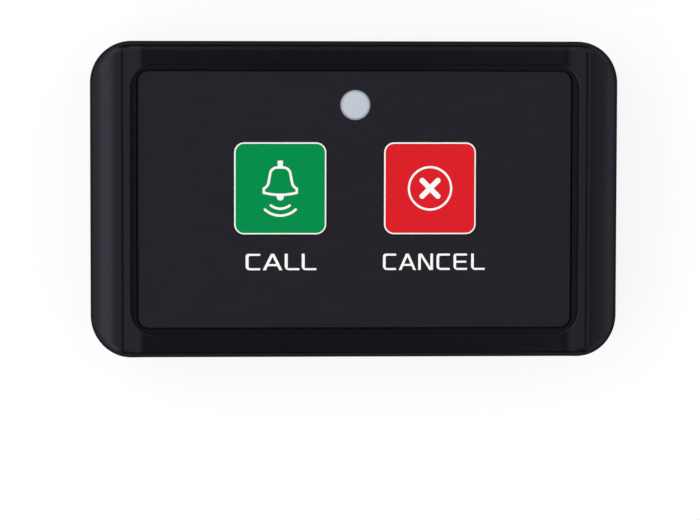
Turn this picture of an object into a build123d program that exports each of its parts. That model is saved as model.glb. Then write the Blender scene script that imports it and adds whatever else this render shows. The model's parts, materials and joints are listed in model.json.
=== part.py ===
from build123d import *
from math import radians, tan
import os

# Wireless table call button with two sprung keys, lying face up.
# Origin: centre of the footprint, on the table. +X to the right, +Y towards the lamp, +Z out of the face.
# All lengths are in millimetres.

# ---------------------------------------------------------------- case outline
case_length = 86.1
case_width = 51.5
case_corner_r = 6.8
case_wall = 1.8

# ---------------------------------------------------------------- heights of the case
case_height = 15.0  # table to the crest of the side ridges
foot_proud = 0.8  # rear face above the table
rear_height = 4.2  # rear face to the parting line
floor_thickness = 1.6
front_rim_r = 1.5  # rounding of the front's outer edge
rear_rim_r = 1.2
seam_chamfer = 0.25

rear_z = foot_proud
floor_z = rear_z + floor_thickness
parting_z = rear_z + rear_height

# ---------------------------------------------------------------- side ridges
ridge_inset = 5.15  # case side to the crest
ridge_rise = 0.5  # crest above the flat rails
ridge_tilt = 9.0  # degrees, of the surfaces on both sides of the crest
ridge_crest_r = 2.2
ridge_foot_r = 8.0  # hollow where the inner slope leaves the rails
ridge_flank_drop = 2.2  # crest to the case side

rail_z = case_height - ridge_rise
ridge_crest_x = case_length / 2 - ridge_inset

# ---------------------------------------------------------------- recess and panel
recess_inset_x = 6.8  # case side to the foot of the recess's lip
recess_inset_y = 3.9
panel_corner_r = 1.75
panel_thickness = 0.7
panel_bevel = 0.12
panel_gap = 0.25
ledge_width = 0.7
ledge_depth = 0.5  # rails to the ledge
lip_taper = 20.0  # degrees
lip_edge_r = 0.2
recess_corner_r = 3.8
adhesive_thickness = 0.15
adhesive_margin = 0.4
deck_thickness = 1.3

ledge_z = rail_z - ledge_depth
panel_top = ledge_z
panel_bottom = panel_top - panel_thickness
deck_top = panel_bottom - adhesive_thickness
deck_bottom = deck_top - deck_thickness
recess_length = case_length - 2 * recess_inset_x
recess_width = case_width - 2 * recess_inset_y
pocket_length = recess_length - 2 * ledge_width
pocket_width = recess_width - 2 * ledge_width
pocket_corner_r = panel_corner_r + panel_gap
panel_length = pocket_length - 2 * panel_gap
panel_width = pocket_width - 2 * panel_gap

# ---------------------------------------------------------------- joint between the two shells
lip_height = 1.5
lip_clearance = 0.1
rebate_depth = 0.9  # outer part of the wall that stays full height on the front

cavity_length = case_length - 2 * case_wall
cavity_width = case_width - 2 * case_wall
cavity_corner_r = case_corner_r - case_wall
rebate_length = case_length - 2 * rebate_depth
rebate_width = case_width - 2 * rebate_depth
rebate_corner_r = case_corner_r - rebate_depth

# ---------------------------------------------------------------- keys
key_size = 15.0
key_corner_r = 1.65
key_spacing = 24.4
key_centre_y = 1.85
key_border = 0.24
key_proud = 0.3
key_gap = 0.15
key_travel = 0.3
key_wall = 1.2
key_bore_r = 0.8
key_roof = 1.2
key_rim_r = 0.12
key_face_thickness = 0.6
key_flange_size = 17.2
key_flange_thickness = 0.8
key_flange_gap = 0.05
key_stem_r = 1.6
key_stem_length = 1.0
key_rib_width = 0.8
key_rib_depth = 0.5
icon_depth = 0.2

key_top = panel_top + key_proud
key_roof_z = key_top - key_roof
stem_end_z = key_roof_z - key_stem_length
key_flange_top = deck_bottom - key_flange_gap
key_flange_z = key_flange_top - key_flange_thickness
key_bore = key_size - 2 * key_wall
key_face_size = key_size - 2 * key_border
key_face_corner_r = key_corner_r - key_border
key_opening = key_size + 2 * key_gap
key_opening_r = key_corner_r + key_gap

# ---------------------------------------------------------------- cross-in-a-ring legend
ring_r = 3.63
ring_stroke = 0.35
cross_length = 4.47
cross_stroke = 0.86

# ---------------------------------------------------------------- bell legend
bell_stroke = 0.4
bell_top_y = 3.6
bell_crown_x = 0.5  # half the flat at the top
bell_shoulder = (1.83, 2.5)
bell_waist = (2.1, 1.0)
bell_brim = (2.88, 0.1)
bell_brim_bottom_y = -0.85
bell_mouth_y = -1.25
bell_knob_width = 0.85
bell_knob_top_y = 4.52
clapper_width = 1.15
clapper_bottom_y = -1.97
wave_ends = ((1.53, -2.77), (2.5, -3.44))
wave_lows = (-3.3, -4.42)

# ---------------------------------------------------------------- lamp
lamp_r = 2.45
lamp_inset = 5.5  # panel's upper edge to the lamp's centre
lamp_gap = 0.05
lamp_crown = 0.12
lamp_flange_r = 3.6
lamp_flange_thickness = 0.8
lamp_stem_r = 1.8
lamp_to_led = 0.3
led_length = 3.5
led_width = 2.8
led_height = 1.9
led_well_r = 1.2
led_well_depth = 0.8

lamp_y = panel_width / 2 - lamp_inset

# ---------------------------------------------------------------- tactile switches
switch_size = 6.0
switch_height = 4.3  # board to the top of the plunger
switch_body_height = 3.5
switch_cover_thickness = 0.25
switch_well_r = 2.6
switch_well_depth = 1.6
plunger_r = 1.7
plunger_clearance = 0.1
plunger_collar_r = 2.3
plunger_collar_height = 0.4
plunger_nub_r = 0.6
switch_peg_r = 0.35
dome_r = 2.4
dome_pressed_rise = 0.25  # left standing when the key is down
dome_thickness = 0.1
terminal_width = 0.7
terminal_thickness = 0.25
terminal_spacing = 4.5
terminal_below_board = 0.8
terminal_hole_r = 0.5

# ---------------------------------------------------------------- circuit board
board_inset_x = 10.2  # inner wall to the board's edge
board_inset_y = 4.95
board_corner_r = 1.5
board_thickness = 1.2
board_hole_inset = 4.0
board_boss_r = 2.5
board_pilot_r = 0.85
board_hole_r = 1.2
board_screw_r = 1.0
board_screw_length = 4.5
board_screw_head_r = 1.9
board_screw_head_height = 1.2
pilot_spare = 0.4

board_length = cavity_length - 2 * board_inset_x
board_width = cavity_width - 2 * board_inset_y
board_boss_spacing_x = board_length - 2 * board_hole_inset
board_boss_spacing_y = board_width - 2 * board_hole_inset
dome_rise = dome_pressed_rise + key_travel
board_top = stem_end_z - switch_height
board_bottom = board_top - board_thickness

# ---------------------------------------------------------------- case screws and feet
screw_inset = 6.8  # case side to the screw's axis
screw_boss_r = 3.0
screw_post_r = 3.6
screw_r = 1.3
screw_pilot_r = 1.1
screw_hole_r = 1.5
screw_length = 8.0
screw_head_r = 2.3
screw_head_height = 1.5
screw_head_clearance = 0.35
screw_seat_depth = 2.2
cross_slot_width = 0.5
cross_slot_depth = 0.6
foot_r = 4.0
foot_height = 1.5
foot_clearance = 0.1
foot_round = 0.35
foot_inset_x = 16.05  # case side to the foot's centre
foot_inset_y = 7.25

screw_spacing_x = case_length - 2 * screw_inset
screw_spacing_y = case_width - 2 * screw_inset
screw_seat_z = rear_z + screw_seat_depth
foot_spacing_x = case_length - 2 * foot_inset_x
foot_spacing_y = case_width - 2 * foot_inset_y

# ---------------------------------------------------------------- coin cell and its holder
cell_r = 10.0
cell_height = 3.2
cell_cap_r = 8.7
cell_cap_rise = 0.2
cell_groove_depth = 0.4
cell_gasket_width = 0.3
cell_round = 0.35
cell_below_keys = 9.85  # centre line of the keys to the cell's centre
cell_floor_gap = 0.2
holder_clearance = 0.2
holder_wall = 1.2
holder_plate = 0.6
holder_window_r = 5.0
contact_thickness = 0.2
contact_width = 4.0
contact_length = 8.0

low_side_y = -case_width / 2
cell_centre_y = key_centre_y - cell_below_keys
cell_z = floor_z + cell_floor_gap
cell_top = cell_z + cell_height
holder_bore_r = cell_r + holder_clearance
holder_r = holder_bore_r + holder_wall
holder_z = cell_z + cell_floor_gap

# ---------------------------------------------------------------- battery door
door_width = 26.0
door_past_cell = 4.0
door_tongue_reach = 1.0
door_tongue_thickness = 0.7
door_lip_thickness = 0.8  # floor left under each tongue
door_clearance = 0.1
door_wall_height = 3.3
door_rail_width = 1.2
door_rail_thickness = 1.0
grip_count = 5
grip_pitch = 1.8
grip_length = 12.0
grip_width = 0.9
grip_depth = 0.4
grip_inset = 9.25  # lower side of the case to the middle groove
arrow_width = 5.0
arrow_length = 3.0
arrow_inset = 17.25

door_head_y = cell_centre_y + cell_r + door_past_cell
grip_centre_y = low_side_y + grip_inset
arrow_centre_y = low_side_y + arrow_inset
tongue_z = rear_z + door_lip_thickness + door_clearance
tongue_top = tongue_z + door_tongue_thickness
door_wide = door_width + 2 * door_tongue_reach
door_slot_wide = door_wide + 2 * door_clearance

# ---------------------------------------------------------------- label recess on the rear
label_length = 38.0
label_width = 11.0
label_corner_r = 1.0
label_depth = 0.3
label_inset = 11.25  # upper side of the case to the middle of the recess

label_centre_y = case_width / 2 - label_inset

# ---------------------------------------------------------------- parts on the board
antenna_margin = 0.4
antenna_width = 0.9
antenna_thickness = 0.1
antenna_break = 8.0
chip_length = 4.9
chip_width = 3.9
chip_height = 1.5
chip_standoff = 0.12
chip_up = 9.0  # from the board's lower edge
chip_lead_count = 4
chip_lead_pitch = 1.27
chip_lead_width = 0.42
chip_lead_thickness = 0.2
chip_lead_reach = 1.0
resonator_size = (5.0, 3.5, 1.3)
resonator_place = (-9.0, 6.0)  # along the board, and up from its lower edge
transistor_size = (2.9, 1.4, 1.0)
transistor_place = (8.5, 6.0)
capacitor_size = (1.6, 0.8, 0.8)
capacitor_places = ((-4.5, 4.5), (4.5, 4.5), (-13.5, 9.0), (5.0, 31.0), (12.5, 9.5))
resistor_size = (1.6, 0.8, 0.45)
resistor_places = ((-4.5, 31.0), (-6.0, 12.5), (6.0, 12.5), (13.0, 4.0))

board_edge_y = -board_width / 2
chip_centre = (0, board_edge_y + chip_up)

side_names = {"call": -1, "cancel": 1}
pieces = {}


def key_centres():
    """Places of the two keys on the face."""
    return Locations(*[(side * key_spacing / 2, key_centre_y) for side in side_names.values()])


def corner_places(spacing_x, spacing_y):
    """Four places in a rectangle about the centre of the case."""
    return GridLocations(spacing_x, spacing_y, 2, 2)


def lip_edges(part, reach_x, reach_y):
    """Upper edges of the recess: those above the ledge that stay within its widest outline."""

    def on_lip(edge):
        box = edge.bounding_box()
        inside = max(box.max.X, -box.min.X) <= reach_x and max(box.max.Y, -box.min.Y) <= reach_y
        return inside and box.min.Z > ledge_z + lip_edge_r

    return part.edges().filter_by(on_lip)


# ================================================================ front case
with BuildPart() as front_case:
    # The side ridges run the whole way across, so the top is one section drawn along Y.
    with BuildSketch(Plane.XZ):
        with BuildLine():
            crest_middle = (ridge_crest_x, case_height - ridge_crest_r)
            crest = CenterArc(crest_middle, ridge_crest_r, 90 + ridge_tilt, -2 * ridge_tilt)
            slope_top = crest @ 0
            slope_foot = (slope_top.X - (slope_top.Y - rail_z) / tan(radians(ridge_tilt)), rail_z)
            FilletPolyline((0, rail_z), slope_foot, slope_top, radius=ridge_foot_r)
            flank_end = (case_length / 2, case_height - ridge_flank_drop)
            flank = TangentArc(crest @ 1, flank_end, tangent=crest % 1)
            Polyline(flank @ 1, (case_length / 2, parting_z), (0, parting_z), (0, rail_z))
        make_face()
        mirror(about=Plane.YZ)
    extrude(amount=case_width / 2, both=True)
    with BuildSketch(Plane.XY.offset(parting_z)):
        RectangleRounded(case_length, case_width, case_corner_r)
    extrude(amount=case_height - parting_z, mode=Mode.INTERSECT)
    walls = front_case.faces().filter_by(lambda face: abs(face.normal_at().Z) < 0.01)
    rim = walls.edges().filter_by(lambda edge: edge.bounding_box().min.Z > parting_z + lip_height)
    fillet(rim, radius=front_rim_r)
    seam = front_case.faces().sort_by(Axis.Z)[0].edges()
    chamfer(seam, length=seam_chamfer)

    # Hollow inside, with a rebate for the rear cover's lip.
    with BuildSketch(Plane.XY.offset(parting_z)):
        RectangleRounded(cavity_length, cavity_width, cavity_corner_r)
    extrude(amount=deck_bottom - parting_z, mode=Mode.SUBTRACT)
    with BuildSketch(Plane.XY.offset(parting_z)):
        RectangleRounded(rebate_length, rebate_width, rebate_corner_r)
    extrude(amount=lip_height + lip_clearance, mode=Mode.SUBTRACT)

    # Recess for the panel: a sloping lip, a narrow ledge, then the pocket down to the deck.
    with BuildSketch(Plane.XY.offset(ledge_z)):
        RectangleRounded(recess_length, recess_width, recess_corner_r)
    extrude(amount=case_height - ledge_z, taper=-lip_taper, mode=Mode.SUBTRACT)
    lip_spread = (case_height - ledge_z) * tan(radians(lip_taper))
    fillet(lip_edges(front_case, recess_length / 2 + lip_spread, recess_width / 2 + lip_spread), lip_edge_r)
    with BuildSketch(Plane.XY.offset(deck_top)):
        RectangleRounded(pocket_length, pocket_width, pocket_corner_r)
    extrude(amount=ledge_z - deck_top, mode=Mode.SUBTRACT)

    # Key and lamp openings through the deck.
    with BuildSketch(Plane.XY.offset(deck_bottom)):
        with key_centres():
            RectangleRounded(key_opening, key_opening, key_opening_r)
        with Locations((0, lamp_y)):
            Circle(lamp_r + lamp_gap)
    extrude(amount=deck_thickness, mode=Mode.SUBTRACT)

    # Bosses for the case screws and for the board screws, each with its pilot hole.
    with BuildSketch(Plane.XY.offset(parting_z)):
        with corner_places(screw_spacing_x, screw_spacing_y):
            Circle(screw_boss_r)
    extrude(amount=deck_bottom - parting_z)
    with BuildSketch(Plane.XY.offset(board_top)):
        with corner_places(board_boss_spacing_x, board_boss_spacing_y):
            Circle(board_boss_r)
    extrude(amount=deck_bottom - board_top)
    with BuildSketch(Plane.XY.offset(parting_z)):
        with corner_places(screw_spacing_x, screw_spacing_y):
            Circle(screw_pilot_r)
    extrude(amount=screw_seat_z + screw_length + pilot_spare - parting_z, mode=Mode.SUBTRACT)
    with BuildSketch(Plane.XY.offset(board_top)):
        with corner_places(board_boss_spacing_x, board_boss_spacing_y):
            Circle(board_pilot_r)
    extrude(amount=board_screw_length - board_thickness + pilot_spare, mode=Mode.SUBTRACT)
pieces["front_case"] = front_case

# ================================================================ panel and its adhesive
with BuildPart() as front_panel:
    with BuildSketch(Plane.XY.offset(panel_bottom)):
        RectangleRounded(panel_length, panel_width, panel_corner_r)
        with key_centres():
            RectangleRounded(key_opening, key_opening, key_opening_r, mode=Mode.SUBTRACT)
        with Locations((0, lamp_y)):
            Circle(lamp_r + lamp_gap, mode=Mode.SUBTRACT)
    extrude(amount=panel_thickness)
    top_edges = front_panel.faces().sort_by(Axis.Z)[-1].outer_wire().edges()
    chamfer(top_edges, length=panel_bevel)
pieces["front_panel"] = front_panel

with BuildPart() as panel_adhesive:
    adhesive_opening = key_opening + 2 * adhesive_margin
    with BuildSketch(Plane.XY.offset(deck_top)):
        RectangleRounded(
            panel_length - 2 * adhesive_margin,
            panel_width - 2 * adhesive_margin,
            panel_corner_r - adhesive_margin,
        )
        with key_centres():
            RectangleRounded(
                adhesive_opening,
                adhesive_opening,
                key_opening_r + adhesive_margin,
                mode=Mode.SUBTRACT,
            )
        with Locations((0, lamp_y)):
            Circle(lamp_r + adhesive_margin, mode=Mode.SUBTRACT)
    extrude(amount=adhesive_thickness)
pieces["panel_adhesive"] = panel_adhesive

# ================================================================ rear cover
with BuildPart() as rear_cover:
    with BuildSketch(Plane.XY.offset(rear_z)):
        RectangleRounded(case_length, case_width, case_corner_r)
    extrude(amount=rear_height)
    fillet(rear_cover.faces().sort_by(Axis.Z)[0].edges(), radius=rear_rim_r)
    chamfer(rear_cover.faces().sort_by(Axis.Z)[-1].edges(), length=seam_chamfer)

    # Locating lip, then the hollow through it.
    with BuildSketch(Plane.XY.offset(parting_z)):
        RectangleRounded(
            rebate_length - 2 * lip_clearance,
            rebate_width - 2 * lip_clearance,
            rebate_corner_r - lip_clearance,
        )
    extrude(amount=lip_height)
    with BuildSketch(Plane.XY.offset(floor_z)):
        RectangleRounded(cavity_length, cavity_width, cavity_corner_r)
    extrude(amount=parting_z + lip_height - floor_z, mode=Mode.SUBTRACT)

    # Screw posts with counterbored holes, and the recesses for the feet.
    with BuildSketch(Plane.XY.offset(floor_z)):
        with corner_places(screw_spacing_x, screw_spacing_y):
            Circle(screw_post_r)
    extrude(amount=parting_z - floor_z)
    with BuildSketch(Plane.XY.offset(rear_z)):
        with corner_places(screw_spacing_x, screw_spacing_y):
            Circle(screw_head_r + screw_head_clearance)
    extrude(amount=screw_seat_depth, mode=Mode.SUBTRACT)
    with BuildSketch(Plane.XY.offset(screw_seat_z)):
        with corner_places(screw_spacing_x, screw_spacing_y):
            Circle(screw_hole_r)
    extrude(amount=parting_z - screw_seat_z, mode=Mode.SUBTRACT)
    with BuildSketch(Plane.XY.offset(rear_z)):
        with corner_places(foot_spacing_x, foot_spacing_y):
            Circle(foot_r + foot_clearance)
    extrude(amount=foot_height - foot_proud, mode=Mode.SUBTRACT)
    with BuildSketch(Plane.XY.offset(rear_z)):
        with Locations((0, label_centre_y)):
            RectangleRounded(label_length, label_width, label_corner_r)
    extrude(amount=label_depth, mode=Mode.SUBTRACT)

    # Rails over the door's tongues, standing on the floor beside the hatch.
    rail_outer_x = door_slot_wide / 2 + door_rail_width
    rail_inner_x = door_width / 2 + door_clearance
    rail_length = door_head_y + cavity_width / 2
    with BuildSketch(Plane.XY.offset(floor_z)):
        with Locations((0, door_head_y - rail_length / 2)):
            Rectangle(2 * rail_outer_x, rail_length)
            Rectangle(2 * rail_inner_x, rail_length, mode=Mode.SUBTRACT)
    extrude(amount=door_rail_thickness)

    # Hatch: narrow at the rear face, wide where the tongues run, and out through the lower wall.
    hatch_length = door_head_y + door_clearance + case_width / 2
    hatch_middle_y = door_head_y + door_clearance - hatch_length / 2
    with BuildSketch(Plane.XY.offset(rear_z)):
        with Locations((0, hatch_middle_y)):
            Rectangle(door_width + 2 * door_clearance, hatch_length)
    extrude(amount=floor_thickness, mode=Mode.SUBTRACT)
    with BuildSketch(Plane.XY.offset(rear_z + door_lip_thickness)):
        with Locations((0, hatch_middle_y)):
            Rectangle(door_slot_wide, hatch_length)
    extrude(amount=tongue_top + door_clearance - rear_z - door_lip_thickness, mode=Mode.SUBTRACT)
    with BuildSketch(Plane.XY.offset(rear_z)):
        with Locations((0, -(case_width - case_wall) / 2)):
            Rectangle(door_slot_wide, case_wall)
    extrude(amount=door_wall_height + door_clearance, mode=Mode.SUBTRACT)
pieces["rear_cover"] = rear_cover

# ================================================================ battery door
with BuildPart() as battery_door:
    plate_length = door_head_y + case_width / 2
    plate_middle_y = door_head_y - plate_length / 2
    with BuildSketch(Plane.XY.offset(rear_z)):
        with Locations((0, plate_middle_y)):
            Rectangle(door_width, plate_length)
    extrude(amount=floor_thickness)
    with BuildSketch(Plane.XY.offset(tongue_z)):
        with Locations((0, plate_middle_y)):
            Rectangle(door_wide, plate_length)
    extrude(amount=door_tongue_thickness)
    with BuildSketch(Plane.XY.offset(rear_z)):
        with Locations((0, -(case_width - case_wall) / 2)):
            Rectangle(door_wide, case_wall)
    extrude(amount=door_wall_height)
    lowest_edges = battery_door.edges().filter_by(Axis.X).group_by(Axis.Z)[0]
    fillet(lowest_edges.sort_by(Axis.Y)[0], radius=rear_rim_r)

    # Finger grooves, and an arrow that shows which way the door slides.
    with BuildSketch(Plane.XY.offset(rear_z)):
        with Locations((0, grip_centre_y)):
            with GridLocations(grip_length, grip_pitch, 1, grip_count):
                SlotOverall(grip_length, grip_width)
        with BuildLine():
            Polyline(
                (-arrow_width / 2, arrow_centre_y + arrow_length / 2),
                (arrow_width / 2, arrow_centre_y + arrow_length / 2),
                (0, arrow_centre_y - arrow_length / 2),
                close=True,
            )
        make_face()
    extrude(amount=grip_depth, mode=Mode.SUBTRACT)
pieces["battery_door"] = battery_door


# ================================================================ screws and feet
def pan_screws(places, seat_z, shank_r, length, head_r, head_height):
    """Pan-head screws driven upwards, with their heads below the seat."""
    with BuildPart() as screws:
        with BuildSketch(Plane.XY.offset(seat_z - head_height)):
            with places:
                Circle(head_r)
        extrude(amount=head_height)
        fillet(screws.faces().group_by(Axis.Z)[0].edges(), radius=head_height / 3)
        with BuildSketch(Plane.XY.offset(seat_z)):
            with places:
                Circle(shank_r)
        extrude(amount=length)
        chamfer(screws.faces().group_by(Axis.Z)[-1].edges(), length=shank_r / 3)
        with BuildSketch(Plane.XY.offset(seat_z - head_height)):
            with places:
                Rectangle(head_r, cross_slot_width)
                Rectangle(cross_slot_width, head_r)
        extrude(amount=cross_slot_depth, mode=Mode.SUBTRACT)
    return screws


pieces["case_screws"] = pan_screws(
    corner_places(screw_spacing_x, screw_spacing_y),
    screw_seat_z,
    screw_r,
    screw_length,
    screw_head_r,
    screw_head_height,
)
pieces["board_screws"] = pan_screws(
    corner_places(board_boss_spacing_x, board_boss_spacing_y),
    board_bottom,
    board_screw_r,
    board_screw_length,
    board_screw_head_r,
    board_screw_head_height,
)

with BuildPart() as rubber_feet:
    with BuildSketch():
        with corner_places(foot_spacing_x, foot_spacing_y):
            Circle(foot_r)
    extrude(amount=foot_height)
    fillet(rubber_feet.faces().group_by(Axis.Z)[0].edges(), radius=foot_round)
pieces["rubber_feet"] = rubber_feet

# ================================================================ legends
with BuildSketch() as cross_legend:
    Circle(ring_r)
    Circle(ring_r - ring_stroke, mode=Mode.SUBTRACT)
    SlotOverall(cross_length, cross_stroke, rotation=45)
    SlotOverall(cross_length, cross_stroke, rotation=-45)

with BuildSketch() as bell_legend:
    brim_bottom = (bell_brim[0], bell_brim_bottom_y)
    with BuildLine():
        crown = Line((0, bell_top_y), (bell_crown_x, bell_top_y))
        dome = TangentArc(crown @ 1, bell_shoulder, tangent=(1, 0))
        waist = Line(dome @ 1, bell_waist)
        flare = TangentArc(waist @ 1, bell_brim, tangent=waist % 1)
        Line(flare @ 1, brim_bottom)
        mirror(about=Plane.YZ)
        ThreePointArc(brim_bottom, (0, bell_mouth_y), (-brim_bottom[0], brim_bottom[1]))
    make_face()
    offset(amount=-bell_stroke, mode=Mode.SUBTRACT)
    knob_bottom_y = bell_top_y - bell_stroke / 2
    with Locations((0, (bell_knob_top_y + knob_bottom_y) / 2)):
        Rectangle(bell_knob_width, bell_knob_top_y - knob_bottom_y)
    with Locations((0, clapper_bottom_y + clapper_width / 2)):
        Circle(clapper_width / 2)
    for (end_x, end_y), low_y in zip(wave_ends, wave_lows):
        with BuildLine():
            ThreePointArc((-end_x, end_y), (0, low_y), (end_x, end_y))
        trace(line_width=bell_stroke)
        with Locations((-end_x, end_y), (end_x, end_y)):
            Circle(bell_stroke / 2)

legends = {"call": bell_legend, "cancel": cross_legend}


# ================================================================ keys
def key_cap(key_x):
    """White shot of a key: rim, roof, skirt, the flange that stops under the deck, and the stem."""
    with BuildPart() as cap:
        with BuildSketch(Plane.XY.offset(key_flange_z)):
            with Locations((key_x, key_centre_y)):
                RectangleRounded(key_flange_size, key_flange_size, key_corner_r)
        extrude(amount=key_flange_thickness)
        with BuildSketch(Plane.XY.offset(key_flange_z)):
            with Locations((key_x, key_centre_y)):
                RectangleRounded(key_size, key_size, key_corner_r)
        extrude(amount=key_top - key_flange_z)
        fillet(cap.faces().sort_by(Axis.Z)[-1].edges(), radius=key_rim_r)
        with BuildSketch(Plane.XY.offset(key_top - key_face_thickness)):
            with Locations((key_x, key_centre_y)):
                RectangleRounded(key_face_size, key_face_size, key_face_corner_r)
        extrude(amount=key_face_thickness, mode=Mode.SUBTRACT)
        with BuildSketch(Plane.XY.offset(key_flange_z)):
            with Locations((key_x, key_centre_y)):
                RectangleRounded(key_bore, key_bore, key_bore_r)
        extrude(amount=key_roof_z - key_flange_z, mode=Mode.SUBTRACT)
        with BuildSketch(Plane.XY.offset(key_roof_z - key_rib_depth)):
            with Locations((key_x, key_centre_y)):
                Rectangle(key_bore, key_rib_width)
                Rectangle(key_rib_width, key_bore)
        extrude(amount=key_rib_depth)
        with BuildSketch(Plane.XY.offset(stem_end_z)):
            with Locations((key_x, key_centre_y)):
                Circle(key_stem_r)
        extrude(amount=key_stem_length)
    return cap


def key_face(key_x, legend):
    """Coloured shot of a key, with the legend sunk into it."""
    with BuildPart() as face:
        with BuildSketch(Plane.XY.offset(key_top - key_face_thickness)):
            with Locations((key_x, key_centre_y)):
                RectangleRounded(key_face_size, key_face_size, key_face_corner_r)
        extrude(amount=key_face_thickness)
        with BuildSketch(Plane.XY.offset(key_top - icon_depth)):
            with Locations((key_x, key_centre_y)):
                add(legend.sketch)
        extrude(amount=icon_depth, mode=Mode.SUBTRACT)
    return face


def key_icon(key_x, legend):
    """White legend that fills the sunk shape, flush with the face."""
    with BuildPart() as icon:
        with BuildSketch(Plane.XY.offset(key_top - icon_depth)):
            with Locations((key_x, key_centre_y)):
                add(legend.sketch)
        extrude(amount=icon_depth)
    return icon


# ================================================================ tactile switches
switch_base_top = board_top + switch_body_height - switch_cover_thickness
switch_well_z = switch_base_top - switch_well_depth
collar_z = switch_base_top - plunger_collar_height
peg_spacing = switch_size - 4 * switch_peg_r


def switch_base(key_x):
    """Moulded body with the well for the dome, and four pegs that hold the cover."""
    with BuildPart() as base:
        with BuildSketch(Plane.XY.offset(board_top)):
            with Locations((key_x, key_centre_y)):
                Rectangle(switch_size, switch_size)
        extrude(amount=switch_base_top - board_top)
        with BuildSketch(Plane.XY.offset(switch_well_z)):
            with Locations((key_x, key_centre_y)):
                Circle(switch_well_r)
        extrude(amount=switch_well_depth, mode=Mode.SUBTRACT)
        with BuildSketch(Plane.XY.offset(switch_base_top)):
            with Locations((key_x, key_centre_y)):
                with GridLocations(peg_spacing, peg_spacing, 2, 2):
                    Circle(switch_peg_r)
        extrude(amount=2 * switch_cover_thickness)
    return base


def switch_cover(key_x):
    """Pressed steel cover plate around the plunger."""
    with BuildPart() as cover:
        with BuildSketch(Plane.XY.offset(switch_base_top)):
            with Locations((key_x, key_centre_y)):
                Rectangle(switch_size, switch_size)
                Circle(plunger_r + plunger_clearance, mode=Mode.SUBTRACT)
                with GridLocations(peg_spacing, peg_spacing, 2, 2):
                    Circle(switch_peg_r, mode=Mode.SUBTRACT)
        extrude(amount=switch_cover_thickness)
    return cover


def switch_plunger(key_x):
    """Round plunger: its collar is caught under the cover and its nub rests on the dome."""
    with BuildPart() as plunger:
        with BuildSketch(Plane.XY.offset(switch_well_z + dome_rise)):
            with Locations((key_x, key_centre_y)):
                Circle(plunger_nub_r)
        extrude(amount=collar_z - switch_well_z - dome_rise)
        with BuildSketch(Plane.XY.offset(collar_z)):
            with Locations((key_x, key_centre_y)):
                Circle(plunger_collar_r)
        extrude(amount=plunger_collar_height)
        with BuildSketch(Plane.XY.offset(switch_base_top)):
            with Locations((key_x, key_centre_y)):
                Circle(plunger_r)
        extrude(amount=stem_end_z - switch_base_top)
    return plunger


def switch_dome(key_x):
    """Thin snap dome that stands on the floor of the well."""
    with BuildPart() as dome:
        section = Plane((key_x, key_centre_y, switch_well_z), x_dir=(1, 0, 0), z_dir=(0, -1, 0))
        with BuildSketch(section):
            with BuildLine():
                outside = TangentArc((0, dome_rise), (dome_r, dome_thickness), tangent=(1, 0))
                foot = Line(outside @ 1, (dome_r, 0))
                inside = TangentArc((0, dome_rise - dome_thickness), foot @ 1, tangent=(1, 0))
                Line(inside @ 0, outside @ 0)
            make_face()
        revolve(axis=Axis((key_x, key_centre_y, 0), (0, 0, 1)))
    return dome


def switch_terminals(key_x):
    """Four flat legs that run down the body's sides and through the board."""
    with BuildPart() as terminals:
        leg_z = board_bottom - terminal_below_board
        with BuildSketch(Plane.XY.offset(leg_z)):
            with Locations((key_x, key_centre_y)):
                with GridLocations(switch_size + terminal_thickness, terminal_spacing, 2, 2):
                    Rectangle(terminal_thickness, terminal_width)
        extrude(amount=board_top + switch_body_height / 2 - leg_z)
    return terminals


for side_name, side in side_names.items():
    key_x = side * key_spacing / 2
    pieces[f"{side_name}_key_cap"] = key_cap(key_x)
    pieces[f"{side_name}_key_face"] = key_face(key_x, legends[side_name])
    pieces[f"{side_name}_key_icon"] = key_icon(key_x, legends[side_name])
    pieces[f"{side_name}_switch_base"] = switch_base(key_x)
    pieces[f"{side_name}_switch_cover"] = switch_cover(key_x)
    pieces[f"{side_name}_switch_plunger"] = switch_plunger(key_x)
    pieces[f"{side_name}_switch_dome"] = switch_dome(key_x)
    pieces[f"{side_name}_switch_terminals"] = switch_terminals(key_x)

# ================================================================ lamp
with BuildPart() as lamp_lens:
    stem_z = board_top + led_height + lamp_to_led
    flange_z = deck_bottom - lamp_flange_thickness
    with BuildSketch(Plane.XZ.offset(-lamp_y)):
        with BuildLine():
            outside = Polyline(
                (0, stem_z),
                (lamp_stem_r, stem_z),
                (lamp_stem_r, flange_z),
                (lamp_flange_r, flange_z),
                (lamp_flange_r, deck_bottom),
                (lamp_r, deck_bottom),
                (lamp_r, panel_top),
            )
            crown = TangentArc((0, panel_top + lamp_crown), outside @ 1, tangent=(1, 0))
            Line(crown @ 0, outside @ 0)
        make_face()
    revolve(axis=Axis((0, lamp_y, 0), (0, 0, 1)))
pieces["lamp_lens"] = lamp_lens

with BuildPart() as status_led:
    with BuildSketch(Plane.XY.offset(board_top)):
        with Locations((0, lamp_y)):
            Rectangle(led_length, led_width)
    extrude(amount=led_height)
    with BuildSketch(Plane.XY.offset(board_top + led_height - led_well_depth)):
        with Locations((0, lamp_y)):
            Circle(led_well_r)
    extrude(amount=led_well_depth, mode=Mode.SUBTRACT)
pieces["status_led"] = status_led

with BuildPart() as status_led_lens:
    with BuildSketch(Plane.XY.offset(board_top + led_height - led_well_depth)):
        with Locations((0, lamp_y)):
            Circle(led_well_r)
    extrude(amount=led_well_depth)
pieces["status_led_lens"] = status_led_lens

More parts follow.
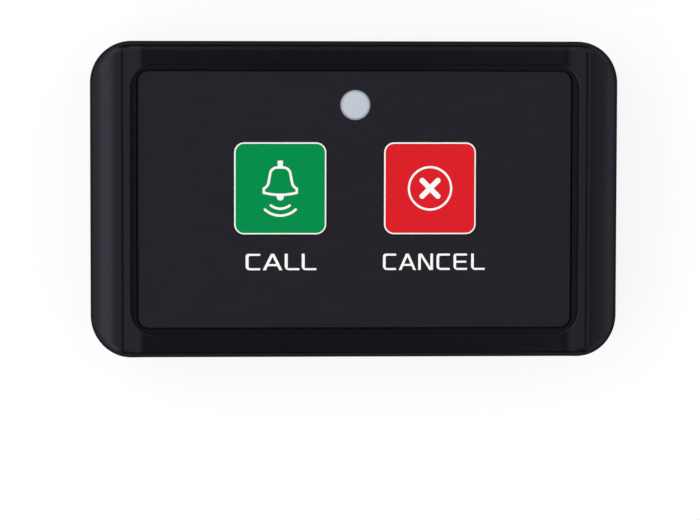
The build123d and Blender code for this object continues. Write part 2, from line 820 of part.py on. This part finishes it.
# ================================================================ circuit board
with BuildPart() as circuit_board:
    with BuildSketch(Plane.XY.offset(board_bottom)):
        RectangleRounded(board_length, board_width, board_corner_r)
        with corner_places(board_boss_spacing_x, board_boss_spacing_y):
            Circle(board_hole_r, mode=Mode.SUBTRACT)
        with key_centres():
            with GridLocations(switch_size + terminal_thickness, terminal_spacing, 2, 2):
                Circle(terminal_hole_r, mode=Mode.SUBTRACT)
    extrude(amount=board_thickness)
pieces["circuit_board"] = circuit_board

with BuildPart() as antenna_trace:
    loop_length = board_length - 2 * antenna_margin
    loop_width = board_width - 2 * antenna_margin
    loop_corner_r = board_corner_r - antenna_margin
    with BuildSketch(Plane.XY.offset(board_top)):
        RectangleRounded(loop_length, loop_width, loop_corner_r)
        Rectangle(loop_length - 2 * antenna_width, loop_width - 2 * antenna_width, mode=Mode.SUBTRACT)
        with Locations((0, -loop_width / 2)):
            Rectangle(antenna_break, 2 * antenna_width, mode=Mode.SUBTRACT)
    extrude(amount=antenna_thickness)
pieces["antenna_trace"] = antenna_trace

with BuildPart() as rf_chip:
    with BuildSketch(Plane.XY.offset(board_top + chip_standoff)):
        with Locations(chip_centre):
            Rectangle(chip_length, chip_width)
    extrude(amount=chip_height)
    chamfer(rf_chip.faces().sort_by(Axis.Z)[-1].edges(), length=chip_standoff)
pieces["rf_chip"] = rf_chip

with BuildPart() as chip_leads:
    chip_x, chip_y = chip_centre
    side_y = chip_y + chip_width / 2
    knee_y = side_y + chip_lead_reach / 3
    shin_y = side_y + chip_lead_reach / 2
    shoulder_z = board_top + chip_standoff + chip_height / 2
    sole_z = board_top + chip_lead_thickness / 2
    for index in range(chip_lead_count):
        lead_x = chip_x + (index - (chip_lead_count - 1) / 2) * chip_lead_pitch
        with BuildSketch(Plane.YZ.offset(lead_x)):
            with BuildLine():
                Polyline(
                    (side_y, shoulder_z),
                    (knee_y, shoulder_z),
                    (shin_y, sole_z),
                    (side_y + chip_lead_reach, sole_z),
                )
            trace(line_width=chip_lead_thickness)
        extrude(amount=chip_lead_width / 2, both=True)
    mirror(about=Plane.XZ.offset(-chip_y))
pieces["chip_leads"] = chip_leads


def block_parts(size, places):
    """Small surface-mounted parts of one size, placed from the board's lower edge."""
    length, width, height = size
    centres = [(along, board_edge_y + up) for along, up in places]
    with BuildPart() as blocks:
        with BuildSketch(Plane.XY.offset(board_top)):
            with Locations(*centres):
                Rectangle(length, width)
        extrude(amount=height)
        chamfer(blocks.faces().group_by(Axis.Z)[-1].edges(), length=height / 10)
    return blocks


pieces["saw_resonator"] = block_parts(resonator_size, [resonator_place])
pieces["transistor"] = block_parts(transistor_size, [transistor_place])
pieces["chip_capacitors"] = block_parts(capacitor_size, capacitor_places)
pieces["chip_resistors"] = block_parts(resistor_size, resistor_places)

# ================================================================ battery
contact_x = cell_r + contact_thickness / 2

with BuildPart() as battery_holder:
    with BuildSketch(Plane.XY.offset(holder_z)):
        with Locations((0, cell_centre_y)):
            Circle(holder_r)
            Circle(holder_bore_r, mode=Mode.SUBTRACT)
    extrude(amount=board_bottom - holder_z)
    with BuildSketch(Plane.XY.offset(board_bottom - holder_plate)):
        with Locations((0, cell_centre_y)):
            Circle(holder_bore_r)
            Circle(holder_window_r, mode=Mode.SUBTRACT)
    extrude(amount=holder_plate)
    with BuildSketch(Plane.XY.offset(holder_z)):
        with Locations((holder_r, cell_centre_y)):
            Rectangle(2 * (holder_r - cell_r), contact_width + 2 * contact_thickness)
    extrude(amount=board_bottom - holder_z, mode=Mode.SUBTRACT)
pieces["battery_holder"] = battery_holder

with BuildPart() as battery_positive_contact:
    with BuildSketch(Plane.XZ.offset(-cell_centre_y)):
        with BuildLine():
            Polyline(
                (contact_x, cell_z + cell_height / 4),
                (contact_x, board_bottom - contact_thickness / 2),
                (holder_r, board_bottom - contact_thickness / 2),
            )
        trace(line_width=contact_thickness)
    extrude(amount=contact_width / 2, both=True)
pieces["battery_positive_contact"] = battery_positive_contact

with BuildPart() as battery_negative_contact:
    upper_z = board_bottom - contact_thickness / 2
    lower_z = cell_top + contact_thickness / 2
    with BuildSketch(Plane.XZ.offset(-cell_centre_y)):
        with BuildLine():
            Polyline(
                (-contact_length / 2, upper_z),
                (-contact_length / 4, upper_z),
                (contact_length / 4, lower_z),
                (contact_length / 3, lower_z),
            )
        trace(line_width=contact_thickness)
    extrude(amount=contact_width / 2, both=True)
pieces["battery_negative_contact"] = battery_negative_contact

with BuildPart() as cell_can:
    can_height = cell_height - cell_cap_rise
    with BuildSketch(Plane.XY.offset(cell_z)):
        with Locations((0, cell_centre_y)):
            Circle(cell_r)
    extrude(amount=can_height)
    fillet(cell_can.edges(), radius=cell_round)
    with BuildSketch(Plane.XY.offset(cell_z + can_height - cell_groove_depth)):
        with Locations((0, cell_centre_y)):
            Circle(cell_cap_r + cell_gasket_width)
    extrude(amount=cell_groove_depth, mode=Mode.SUBTRACT)
pieces["cell_can"] = cell_can

with BuildPart() as cell_gasket:
    with BuildSketch(Plane.XY.offset(cell_z + can_height - cell_groove_depth)):
        with Locations((0, cell_centre_y)):
            Circle(cell_cap_r + cell_gasket_width)
            Circle(cell_cap_r, mode=Mode.SUBTRACT)
    extrude(amount=cell_groove_depth)
pieces["cell_gasket"] = cell_gasket

with BuildPart() as cell_cap:
    with BuildSketch(Plane.XY.offset(cell_z + can_height - cell_groove_depth)):
        with Locations((0, cell_centre_y)):
            Circle(cell_cap_r)
    extrude(amount=cell_groove_depth + cell_cap_rise)
    fillet(cell_cap.faces().sort_by(Axis.Z)[-1].edges(), radius=cell_cap_rise / 2)
pieces["cell_cap"] = cell_cap

# ================================================================ one file per piece
os.makedirs("parts", exist_ok=True)
for label, piece in pieces.items():
    piece.part.label = label
    export_step(piece.part, f"parts/{label}.step")
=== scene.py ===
import json
import math
import bmesh
import bpy
from mathutils import Matrix, Vector


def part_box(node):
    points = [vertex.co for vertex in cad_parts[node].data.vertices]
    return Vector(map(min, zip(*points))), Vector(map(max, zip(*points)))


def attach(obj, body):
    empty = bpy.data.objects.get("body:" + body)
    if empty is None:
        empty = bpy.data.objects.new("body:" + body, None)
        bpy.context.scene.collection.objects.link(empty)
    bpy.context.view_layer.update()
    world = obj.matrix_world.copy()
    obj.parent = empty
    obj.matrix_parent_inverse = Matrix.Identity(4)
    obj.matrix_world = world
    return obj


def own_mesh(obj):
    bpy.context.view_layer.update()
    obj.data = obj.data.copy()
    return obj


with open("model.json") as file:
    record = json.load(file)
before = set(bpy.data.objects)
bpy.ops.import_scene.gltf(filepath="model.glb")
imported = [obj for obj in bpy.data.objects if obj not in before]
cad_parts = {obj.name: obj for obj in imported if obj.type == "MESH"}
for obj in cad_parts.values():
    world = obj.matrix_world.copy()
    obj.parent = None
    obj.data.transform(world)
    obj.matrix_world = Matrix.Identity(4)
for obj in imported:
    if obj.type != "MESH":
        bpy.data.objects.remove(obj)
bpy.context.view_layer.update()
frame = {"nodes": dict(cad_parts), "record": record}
nodes = frame["nodes"]
MM = 0.001

# ---------------------------------------------------------------- camera, as a long lens above the object
CAMERA_PLACE = Vector((-30.24, 25.76, 550.8)) * MM
CAMERA_TURN_DEG = (-3.795, -3.13, 0.113)
CAMERA_LENS = 170.0
CAMERA_SENSOR = 36.0
CAMERA_CLIP = (0.01, 20.0)

# ---------------------------------------------------------------- softboxes, sized in shares of their distance
SOFTBOX_DISTANCE = 2.5
LEFT, RIGHT, UPPER = (-1.0, 0.0), (1.0, 0.0), (0.0, 1.0)
SOFTBOXES = {
    "left_inner": {"toward": LEFT, "tilt_deg": 12.0, "size": (0.17, 2.4), "radiance": 1.5},
    "left_between": {"toward": LEFT, "tilt_deg": 23.0, "size": (0.24, 2.4), "radiance": 0.75},
    "left_box": {"toward": LEFT, "tilt_deg": 45.0, "size": (0.48, 2.4), "radiance": 2.45},
    "left_outer": {"toward": LEFT, "tilt_deg": 69.0, "size": (0.3, 2.4), "radiance": 1.2},
    "right_inner": {"toward": RIGHT, "tilt_deg": 17.0, "size": (0.17, 2.4), "radiance": 1.9},
    "right_box": {"toward": RIGHT, "tilt_deg": 44.0, "size": (0.5, 2.4), "radiance": 0.8},
    "right_outer": {"toward": RIGHT, "tilt_deg": 67.0, "size": (0.3, 2.4), "radiance": 1.4},
    "upper_box": {"toward": UPPER, "tilt_deg": 27.0, "size": (0.66, 0.9), "radiance": 0.5},
}
SKY_STRENGTH = 0.03

# ---------------------------------------------------------------- sweep under and round the object, in metres
SWEEP_FLOOR_R = 3.0
SWEEP_COVE_R = 0.4
SWEEP_COVE_START_DEG = -80.0
SWEEP_COVE_STEPS = 8
SWEEP_HEIGHT = 0.6
SWEEP_SEGMENTS = 96
SWEEP_CLOUD = 0.4
SWEEP_MOTTLE = 0.01
SWEEP_ROUGHNESS = 0.9
SWEEP_SPECULAR = 0.1
FLOOR_COLOUR = (0.18, 0.18, 0.18, 1.0)
FLOOR_GLOW = 0.835  # plain white added for the camera, in reflections and through clear parts

# ---------------------------------------------------------------- materials, in mm and 8-bit sRGB colours
NEUTRAL = (1.0, 1.0, 1.0, 1.0)
BLUISH = (0.82, 0.79, 1.0, 1.0)
NOISE_LOW, NOISE_HIGH = 0.3, 0.7  # where most values of a noise lie
CLOUD_DETAIL = 3.0

MOULDED = {
    "case_plastic": {
        "colour": (5, 4, 8), "roughness": 0.26, "grain": 0.12, "depth": 0.0012,
        "specular": 0.26, "tint": BLUISH, "grazing": 0.7,
    },
    "rear_plastic": {
        "colour": (17, 16, 20), "roughness": 0.48, "grain": 0.18, "depth": 0.004,
        "specular": 0.3, "tint": BLUISH, "grazing": 0.2,
    },
    "key_white": {
        "colour": (248, 248, 247), "roughness": 0.35, "grain": 0.15, "depth": 0.0008,
        "mottle": 0.01, "specular": 0.3,
    },
    "key_green": {
        "colour": (0, 140, 72), "roughness": 0.25, "grain": 0.15, "depth": 0.0006,
        "mottle": 0.02, "specular": 0.1,
    },
    "key_red": {
        "colour": (218, 30, 39), "roughness": 0.25, "grain": 0.15, "depth": 0.0006,
        "mottle": 0.02, "specular": 0.1,
    },
    "adhesive": {"colour": (205, 203, 196), "roughness": 0.7, "grain": 0.2, "depth": 0.01},
    "rubber": {"colour": (30, 30, 31), "roughness": 0.75, "grain": 0.25, "depth": 0.01},
    "board": {"colour": (22, 96, 52), "roughness": 0.3, "grain": 0.6, "depth": 0.004},
    "black_resin": {"colour": (30, 30, 32), "roughness": 0.55, "grain": 0.15, "depth": 0.004},
    "ceramic_tan": {"colour": (176, 148, 112), "roughness": 0.5, "grain": 0.1, "depth": 0.003},
    "led_body": {"colour": (238, 238, 232), "roughness": 0.4, "grain": 0.1, "depth": 0.001, "mottle": 0.02},
    "led_resin": {"colour": (226, 205, 96), "roughness": 0.2, "grain": 0.2, "depth": 0.001, "mottle": 0.06},
    "gasket": {"colour": (60, 60, 64), "roughness": 0.5, "grain": 0.1, "depth": 0.002},
}
MOULDED_CLOUD = 6.0
MOULDED_GRAIN_ROUGHNESS = 0.6
MOULDED_GLOSS_SPREAD = 0.04
GRAZING_FROM, GRAZING_TO = 0.18, 0.42  # one minus the cosine of the slant at which it is seen

METALS = {
    "screw_steel": {"colour": (170, 171, 172), "roughness": 0.32, "line": 1.2},
    "copper": {"colour": (200, 160, 110), "roughness": 0.35, "line": 0.6},
    "tinned_metal": {"colour": (196, 197, 200), "roughness": 0.28, "line": 0.5},
    "spring_steel": {"colour": (205, 206, 210), "roughness": 0.2, "line": 0.8},
    "cell_steel": {"colour": (198, 198, 200), "roughness": 0.26, "line": 2.0},
}
METAL_CLOUD = 1.5
METAL_MOTTLE = (-0.12, 0.08)
METAL_GLOSS_SPREAD = (-0.06, 0.1)
METAL_STRETCH = (1.0, 12.0, 12.0)
METAL_LINE_DEPTH = 0.004

PANEL_COLOUR = (24, 23, 28)
PANEL_MOTTLE = 0.12
PANEL_ROUGHNESS = (0.5, 0.6)
PANEL_SPECULAR = 0.18
PANEL_GRAIN = 0.1
PANEL_HAIR = 0.22
PANEL_HAIR_STRETCH = (0.04, 1.0, 1.0)
PANEL_HAIR_DEPTH = 0.0008

LAMP_WINDOW_R = 2.45
LAMP_COLOUR = (190, 199, 207)
# painted shade: the lens is drawn darker and a little bluer towards its rim, standing in for the shading of
# its rounded edge
LAMP_RIM_SHADE_COLOUR = (108, 113, 128)
LAMP_RIM_SHADE_FROM, LAMP_RIM_SHADE_TO = 0.77, 1.06  # shares of the window's radius
LAMP_ROUGHNESS = (0.3, 0.42)
LAMP_SPECULAR = 0.3
LAMP_FROST = 0.5
LAMP_FROST_DEPTH = 0.001

# ---------------------------------------------------------------- words under the keys, in mm
LETTER_CAP = 2.68
LETTER_BAR = 0.335
LETTER_CORNER_R = 0.45
LETTER_FOOT_R = 0.65
LETTER_CORNER_STEPS = 6
A_FOOT = 1.05  # shares of the stem
A_FLAT = 1.1
N_CORNER = 1.4
A_BAR_LOW = 0.25  # shares of the cap height
N_DROP = 0.17
E_ARM_SHORTER = 1 / 3  # share of the bar
WORD_CENTRE_Y = -10.15
WORD_THICKNESS = 0.02
# Each letter with its left side and its width.
WORDS = {
    "call_word": {
        "stem": 0.48,
        "letters": (("C", -17.83, 2.38), ("A", -15.04, 3.2), ("L", -11.46, 2.38), ("L", -8.69, 2.38)),
    },
    "cancel_word": {
        "stem": 0.43,
        "letters": (
            ("C", 4.57, 2.14), ("A", 7.14, 2.84), ("N", 10.33, 2.42),
            ("C", 13.33, 2.18), ("E", 16.11, 2.2), ("L", 19.0, 2.2),
        ),
    },
}


# ================================================================ materials
def srgb(colour):
    """Linear colour of an 8-bit sRGB one."""
    def linear(value):
        share = value / 255
        return share / 12.92 if share <= 0.04045 else ((share + 0.055) / 1.055) ** 2.4

    return tuple(linear(value) for value in colour) + (1.0,)


def shade(colour, share):
    """The colour made lighter or darker by a share."""
    return tuple(min(1.0, part * (1 + share)) for part in colour[:3]) + (1.0,)


class Shader:
    """A node material with a Principled shader that its maker fills in."""

    def __init__(self, name):
        self.material = bpy.data.materials.new(name)
        self.material.use_nodes = True
        self.tree = self.material.node_tree
        self.tree.nodes.clear()
        self.out = self.add("ShaderNodeOutputMaterial")
        self.body = self.add("ShaderNodeBsdfPrincipled")
        self.link(self.body.outputs["BSDF"], self.out.inputs["Surface"])
        self.place = self.add("ShaderNodeTexCoord").outputs["Object"]

    def add(self, kind, **settings):
        node = self.tree.nodes.new(kind)
        for key, value in settings.items():
            setattr(node, key, value)
        return node

    def link(self, source, target):
        self.tree.links.new(source, target)

    def set(self, **values):
        for key, value in values.items():
            self.body.inputs[key.replace("_", " ")].default_value = value

    def paint(self, factor, first, second):
        """Base colour that goes from the first to the second with the factor."""
        node = self.add("ShaderNodeMix", data_type="RGBA")
        self.link(factor, node.inputs["Factor"])
        node.inputs["A"].default_value = first
        node.inputs["B"].default_value = second
        self.link(node.outputs["Result"], self.body.inputs["Base Color"])

    def noise(self, size, detail=2.0, roughness=0.5, stretch=None):
        """Noise whose features are about size metres across, with the place scaled by stretch."""
        node = self.add("ShaderNodeTexNoise")
        node.inputs["Scale"].default_value = 1.0 / size
        node.inputs["Detail"].default_value = detail
        node.inputs["Roughness"].default_value = roughness
        place = self.place
        if stretch:
            mapping = self.add("ShaderNodeMapping")
            mapping.inputs["Scale"].default_value = stretch
            self.link(place, mapping.inputs["Vector"])
            place = mapping.outputs["Vector"]
        self.link(place, node.inputs["Vector"])
        return node.outputs["Fac"]

    def spread(self, noise, low, high):
        """The usual values of a noise mapped to low..high."""
        node = self.add("ShaderNodeMapRange")
        node.inputs["From Min"].default_value = NOISE_LOW
        node.inputs["From Max"].default_value = NOISE_HIGH
        node.inputs["To Min"].default_value = low
        node.inputs["To Max"].default_value = high
        self.link(noise, node.inputs["Value"])
        return node.outputs["Result"]

    def ramp(self, value, start, end, top=1.0):
        """A smooth rise from 0 to top between start and end."""
        node = self.add("ShaderNodeMapRange", interpolation_type="SMOOTHSTEP")
        node.inputs["From Min"].default_value = start
        node.inputs["From Max"].default_value = end
        node.inputs["To Max"].default_value = top
        self.link(value, node.inputs["Value"])
        return node.outputs["Result"]

    def math(self, operation, first, second):
        node = self.add("ShaderNodeMath", operation=operation)
        self.link(first, node.inputs[0])
        self.link(second, node.inputs[1])
        return node.outputs["Value"]

    def bump(self, height, depth):
        node = self.add("ShaderNodeBump")
        node.inputs["Distance"].default_value = depth
        self.link(height, node.inputs["Height"])
        self.link(node.outputs["Normal"], self.body.inputs["Normal"])


def moulded(name, colour, roughness, grain, depth, mottle=0.12, specular=0.5, tint=NEUTRAL, grazing=0.0):
    """Moulded plastic: a mottle in colour, the grain of the tool, and less gloss at a grazing view."""
    made = Shader(name)
    made.set(Specular_IOR_Level=specular, Specular_Tint=tint)
    base = srgb(colour)
    made.paint(made.noise(MOULDED_CLOUD * MM, CLOUD_DETAIL), shade(base, -mottle), shade(base, mottle))
    fine = made.noise(grain * MM, roughness=MOULDED_GRAIN_ROUGHNESS)
    rough = made.spread(fine, roughness - MOULDED_GLOSS_SPREAD, roughness + MOULDED_GLOSS_SPREAD)
    if grazing:
        facing = made.add("ShaderNodeLayerWeight").outputs["Facing"]
        rough = made.math("ADD", rough, made.ramp(facing, GRAZING_FROM, GRAZING_TO, grazing))
    made.link(rough, made.body.inputs["Roughness"])
    made.bump(fine, depth * MM)
    return made.material


def metal(name, colour, roughness, line):
    """Plated or pressed metal with fine drawn lines."""
    made = Shader(name)
    made.set(Metallic=1.0)
    base = srgb(colour)
    darker, lighter = METAL_MOTTLE
    made.paint(made.noise(METAL_CLOUD * MM, CLOUD_DETAIL), shade(base, darker), shade(base, lighter))
    lines = made.noise(line * MM, stretch=METAL_STRETCH)
    glossier, rougher = METAL_GLOSS_SPREAD
    made.link(made.spread(lines, roughness + glossier, roughness + rougher), made.body.inputs["Roughness"])
    made.bump(lines, METAL_LINE_DEPTH * MM)
    return made.material


def panel_film():
    """Matte black film with faint hairlines along its length."""
    made = Shader("panel")
    made.set(Specular_IOR_Level=PANEL_SPECULAR, Specular_Tint=BLUISH)
    base = srgb(PANEL_COLOUR)
    hairs = made.noise(PANEL_HAIR * MM, stretch=PANEL_HAIR_STRETCH)
    made.paint(made.spread(hairs, 0.0, 1.0), shade(base, -PANEL_MOTTLE), shade(base, PANEL_MOTTLE))
    grain = made.noise(PANEL_GRAIN * MM)
    made.link(made.spread(grain, *PANEL_ROUGHNESS), made.body.inputs["Roughness"])
    made.bump(hairs, PANEL_HAIR_DEPTH * MM)
    return made.material


def lamp_window():
    """Frosted window with painted shade: darker and a little bluer towards its rim."""
    low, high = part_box("lamp_lens")
    centre = (low + high) / 2
    window_r = LAMP_WINDOW_R * MM
    made = Shader("lamp")
    made.set(Specular_IOR_Level=LAMP_SPECULAR)
    fit = made.add("ShaderNodeMapping")
    fit.inputs["Scale"].default_value = (1 / window_r, 1 / window_r, 0.0)
    fit.inputs["Location"].default_value = (-centre.x / window_r, -centre.y / window_r, 0.0)
    made.link(made.place, fit.inputs["Vector"])
    from_centre = made.add("ShaderNodeVectorMath", operation="LENGTH")
    made.link(fit.outputs["Vector"], from_centre.inputs[0])
    # painted shade: a ramp from the window's centre colour to a darker, bluer rim
    rim_shade = made.ramp(from_centre.outputs["Value"], LAMP_RIM_SHADE_FROM, LAMP_RIM_SHADE_TO)
    made.paint(rim_shade, srgb(LAMP_COLOUR), srgb(LAMP_RIM_SHADE_COLOUR))
    frost = made.noise(LAMP_FROST * MM)
    made.link(made.spread(frost, *LAMP_ROUGHNESS), made.body.inputs["Roughness"])
    made.bump(frost, LAMP_FROST_DEPTH * MM)
    return made.material


materials = {name: moulded(name, **look) for name, look in MOULDED.items()}
materials.update({name: metal(name, **look) for name, look in METALS.items()})
materials["panel"] = panel_film()
materials["lamp"] = lamp_window()
for subpart in frame["record"]["subparts"]:
    for slot in nodes[subpart["node"]].material_slots:
        slot.material = materials[subpart["material_slot"]]


# ================================================================ snap domes, each given its own copy of its mesh
for side in ("call", "cancel"):
    dome_name = f"{side}_switch_dome"
    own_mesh(nodes[dome_name])


# ================================================================ words under the keys
def rounded(corners):
    """Outline through corners given as (x, y, radius), with an arc of that radius at each corner."""
    points = []
    for index, (x, y, radius) in enumerate(corners):
        corner = Vector((x, y))
        if radius == 0:
            points.append(corner)
            continue
        back = (Vector(corners[index - 1][:2]) - corner).normalized()
        ahead = (Vector(corners[(index + 1) % len(corners)][:2]) - corner).normalized()
        half_angle = back.angle(ahead) / 2
        centre = corner + (back + ahead).normalized() * radius / math.sin(half_angle)
        reach = radius / math.tan(half_angle)
        spoke = corner + back * reach - centre
        turn = -spoke.angle_signed(corner + ahead * reach - centre)
        for step in range(LETTER_CORNER_STEPS + 1):
            points.append(centre + Matrix.Rotation(turn * step / LETTER_CORNER_STEPS, 2) @ spoke)
    return points


def letter_outlines(letter, width, stem):
    """Outlines of a plain block letter in mm, the outer one first, in a box of this width."""
    cap, bar, corner, foot_corner = LETTER_CAP, LETTER_BAR, LETTER_CORNER_R, LETTER_FOOT_R
    hole = None
    if letter == "C":
        inner = corner - bar / 2
        outer = [
            (width, 0, 0), (width, bar, 0), (stem, bar, inner), (stem, cap - bar, inner),
            (width, cap - bar, 0), (width, cap, 0), (0, cap, corner), (0, 0, foot_corner),
        ]
    elif letter == "L":
        outer = [
            (width, 0, 0), (width, bar, 0), (stem, bar, 0), (stem, cap, 0), (0, cap, 0), (0, 0, foot_corner),
        ]
    elif letter == "E":
        arm = width - E_ARM_SHORTER * bar
        middle = (cap - bar) / 2
        outer = [
            (width, 0, 0), (width, bar, 0), (stem, bar, 0), (stem, middle, 0), (arm, middle, 0),
            (arm, middle + bar, 0), (stem, middle + bar, 0), (stem, cap - bar, 0),
            (width, cap - bar, 0), (width, cap, 0), (0, cap, corner), (0, 0, foot_corner),
        ]
    elif letter == "N":
        top = N_CORNER * stem
        drop = N_DROP * cap
        outer = [
            (stem, 0, 0), (stem, cap - drop, 0), (width - top, 0, 0), (width, 0, 0), (width, cap, 0),
            (width - stem, cap, 0), (width - stem, drop, 0), (top, cap, 0), (0, cap, corner / 2), (0, 0, 0),
        ]
    elif letter == "A":
        foot = A_FOOT * stem
        half_flat = A_FLAT * stem / 2
        lean = (width / 2 - half_flat) / cap
        bar_low = A_BAR_LOW * cap
        bar_high = bar_low + bar
        hole_top = (width / 2 - foot) / lean
        left_low = foot + lean * bar_low
        left_high = foot + lean * bar_high
        outer = [
            (width, 0, 0), (width / 2 + half_flat, cap, 0), (width / 2 - half_flat, cap, 0), (0, 0, 0),
            (foot, 0, 0), (left_low, bar_low, 0), (width - left_low, bar_low, 0), (width - foot, 0, 0),
        ]
        hole = [(left_high, bar_high, 0), (width - left_high, bar_high, 0), (width / 2, hole_top, 0)]
    else:
        raise ValueError(letter)
    return [rounded(outline) for outline in (outer, hole) if outline]


def printed_word(name, stem, letters):
    """A word printed on the panel in thin white letters of even height."""
    curve = bpy.data.curves.new(name, "CURVE")
    curve.dimensions = "2D"
    curve.fill_mode = "BOTH"
    curve.extrude = WORD_THICKNESS * MM / 2
    base_y = WORD_CENTRE_Y - LETTER_CAP / 2
    for letter, left, width in letters:
        for outline in letter_outlines(letter, width, stem):
            spline = curve.splines.new("POLY")
            spline.points.add(len(outline) - 1)
            spline.use_cyclic_u = True
            for point, (x, y) in zip(spline.points, outline):
                point.co = ((left + x) * MM, (base_y + y) * MM, 0, 1)
    drawing = bpy.data.objects.new(name, curve)
    data = bpy.data.meshes.new_from_object(drawing)
    bpy.data.objects.remove(drawing)
    data.transform(Matrix.Translation((0, 0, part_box("front_panel")[1].z + curve.extrude)))
    piece = bpy.data.objects.new(name, data)
    bpy.context.scene.collection.objects.link(piece)
    data.materials.clear()
    data.materials.append(materials["key_white"])
    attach(piece, "case")


for word_name, word in WORDS.items():
    printed_word(word_name, **word)


# ================================================================ floor, light and camera
def sweep_material():
    """Pale sweep: glows up to white for the camera and in reflections, and keeps the object's shadow."""
    made = Shader("sweep")
    made.set(Roughness=SWEEP_ROUGHNESS, Specular_IOR_Level=SWEEP_SPECULAR)
    made.paint(made.noise(SWEEP_CLOUD), shade(FLOOR_COLOUR, -SWEEP_MOTTLE), shade(FLOOR_COLOUR, SWEEP_MOTTLE))
    path = made.add("ShaderNodeLightPath").outputs
    mirrored = made.math("MAXIMUM", path["Is Glossy Ray"], path["Is Transmission Ray"])
    seen = made.math("MAXIMUM", path["Is Camera Ray"], mirrored)
    glow = made.add("ShaderNodeMath", operation="MULTIPLY")
    glow.inputs[1].default_value = FLOOR_GLOW
    made.link(seen, glow.inputs[0])
    plain = made.add("ShaderNodeEmission")
    made.link(glow.outputs["Value"], plain.inputs["Strength"])
    summed = made.add("ShaderNodeAddShader")
    made.link(made.body.outputs["BSDF"], summed.inputs[0])
    made.link(plain.outputs["Emission"], summed.inputs[1])
    made.link(summed.outputs["Shader"], made.out.inputs["Surface"])
    return made.material


def sweep():
    """Round floor that curves up into a low wall."""
    profile = [(SWEEP_FLOOR_R, 0.0)]
    for step in range(SWEEP_COVE_STEPS + 1):
        turn = math.radians(SWEEP_COVE_START_DEG * (1 - step / SWEEP_COVE_STEPS))
        profile.append((SWEEP_FLOOR_R + SWEEP_COVE_R * math.cos(turn), SWEEP_COVE_R * (1 + math.sin(turn))))
    profile.append((SWEEP_FLOOR_R + SWEEP_COVE_R, SWEEP_HEIGHT))
    mesh = bmesh.new()
    turns = [math.tau * step / SWEEP_SEGMENTS for step in range(SWEEP_SEGMENTS)]
    rings = [
        [mesh.verts.new((radius * math.cos(turn), radius * math.sin(turn), height)) for turn in turns]
        for radius, height in profile
    ]
    mesh.faces.new(rings[0])
    for inner, outer in zip(rings, rings[1:]):
        for step in range(SWEEP_SEGMENTS):
            following = (step + 1) % SWEEP_SEGMENTS
            mesh.faces.new((inner[step], outer[step], outer[following], inner[following])).smooth = True
    bmesh.ops.recalc_face_normals(mesh, faces=mesh.faces[:])
    data = bpy.data.meshes.new("sweep")
    mesh.to_mesh(data)
    mesh.free()
    piece = bpy.data.objects.new("sweep", data)
    bpy.context.scene.collection.objects.link(piece)
    data.materials.append(sweep_material())


def softbox(name, toward, tilt_deg, size, radiance):
    """A rectangular lamp aimed at the object: its size across the tilt and along the side that it faces."""
    data = bpy.data.lights.new(name, "AREA")
    data.shape = "RECTANGLE"
    across, along = (share * SOFTBOX_DISTANCE for share in size)
    data.size, data.size_y = along, across
    data.energy = radiance * math.pi * along * across
    lamp = bpy.data.objects.new(name, data)
    bpy.context.scene.collection.objects.link(lamp)
    tilt = math.radians(tilt_deg)
    aim = Vector((toward[0] * math.sin(tilt), toward[1] * math.sin(tilt), math.cos(tilt)))
    lamp.location = aim * SOFTBOX_DISTANCE
    lamp.rotation_euler = aim.to_track_quat("Z", "Y").to_euler()
    lamp.visible_camera = False


def sky():
    """Faint even light from all sides."""
    made = bpy.data.worlds.new("studio")
    bpy.context.scene.world = made
    made.use_nodes = True
    glow = made.node_tree.nodes["Background"]
    glow.inputs["Color"].default_value = NEUTRAL
    glow.inputs["Strength"].default_value = SKY_STRENGTH


def camera():
    """Camera nearly straight above the object."""
    data = bpy.data.cameras.new("camera")
    data.lens = CAMERA_LENS
    data.sensor_width = CAMERA_SENSOR
    data.clip_start, data.clip_end = CAMERA_CLIP
    piece = bpy.data.objects.new("camera", data)
    bpy.context.scene.collection.objects.link(piece)
    piece.location = CAMERA_PLACE
    piece.rotation_euler = [math.radians(turn) for turn in CAMERA_TURN_DEG]
    bpy.context.scene.camera = piece


sweep()
for box_name, box in SOFTBOXES.items():
    softbox(box_name, **box)
sky()
camera()
bpy.context.scene.view_settings.view_transform = "Standard"
